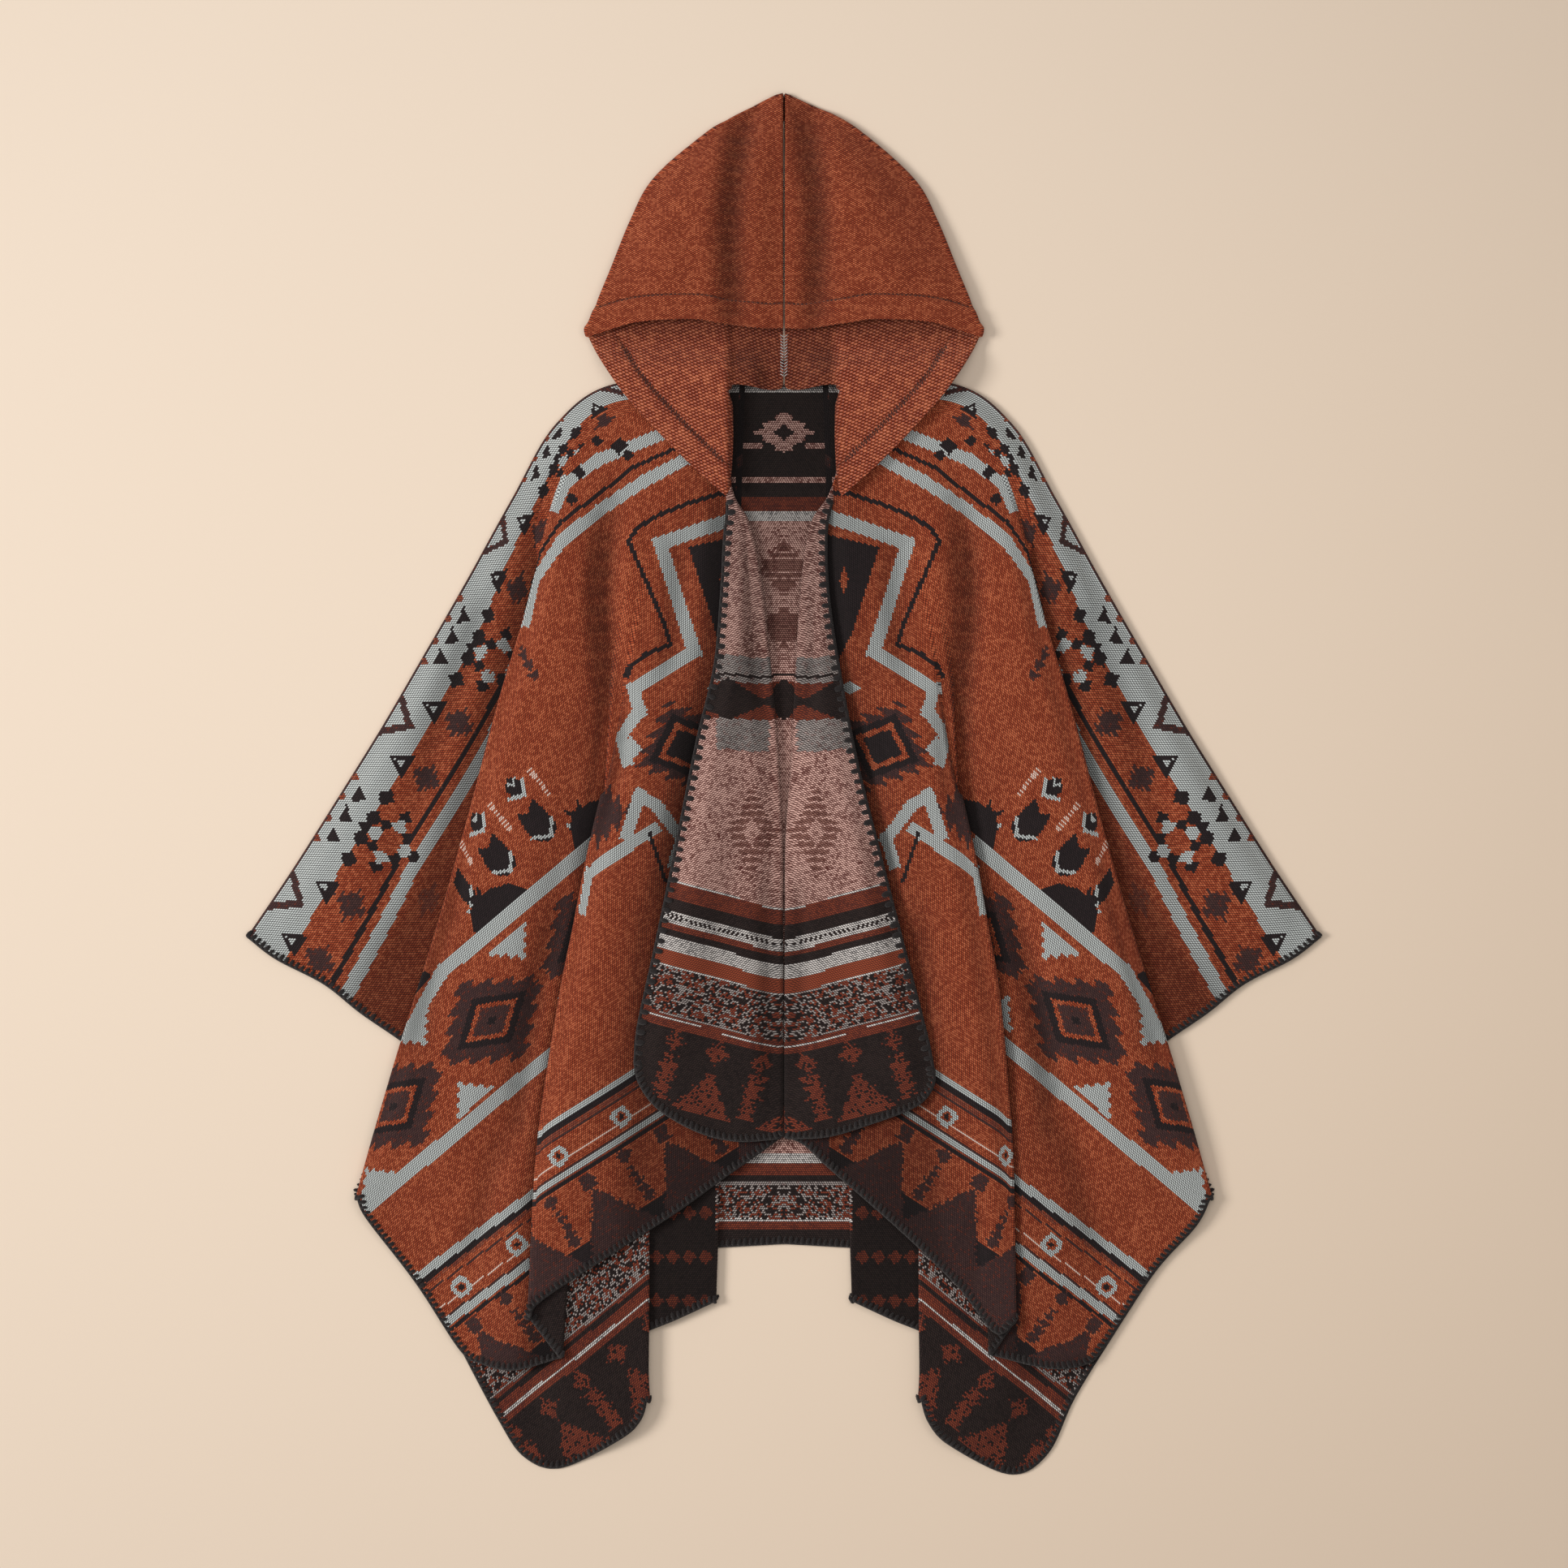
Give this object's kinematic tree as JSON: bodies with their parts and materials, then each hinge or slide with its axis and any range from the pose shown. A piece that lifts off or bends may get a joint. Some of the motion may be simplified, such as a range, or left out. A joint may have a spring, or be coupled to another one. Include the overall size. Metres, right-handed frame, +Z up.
{
  "type": "hooded poncho",
  "caption": "Hooded open-front blanket poncho laid out flat, with pleated fronts, turned lapels and a two-piece hood.",
  "frame": {"origin": "centre of the garment's outline on the surface that it lies on", "axes": "+Z up out of the surface, +Y towards the hood, +X to the right of the picture"},
  "size_m": [1.122, 1.4414, 0.0309],
  "materials": {
    "wrong_side_cloth": "brushed jacquard blanket cloth, its speckled wrong side",
    "patterned_cloth": "brushed jacquard blanket cloth, rust with grey and burgundy bands",
    "hood_cloth": "plain rust twill blanket cloth"
  },
  "bodies": {
    "root": {"back_panel": "wrong_side_cloth", "front_left": "patterned_cloth", "front_right": "patterned_cloth", "hood_left": "hood_cloth", "hood_right": "hood_cloth"}
  },
  "joints": []
}
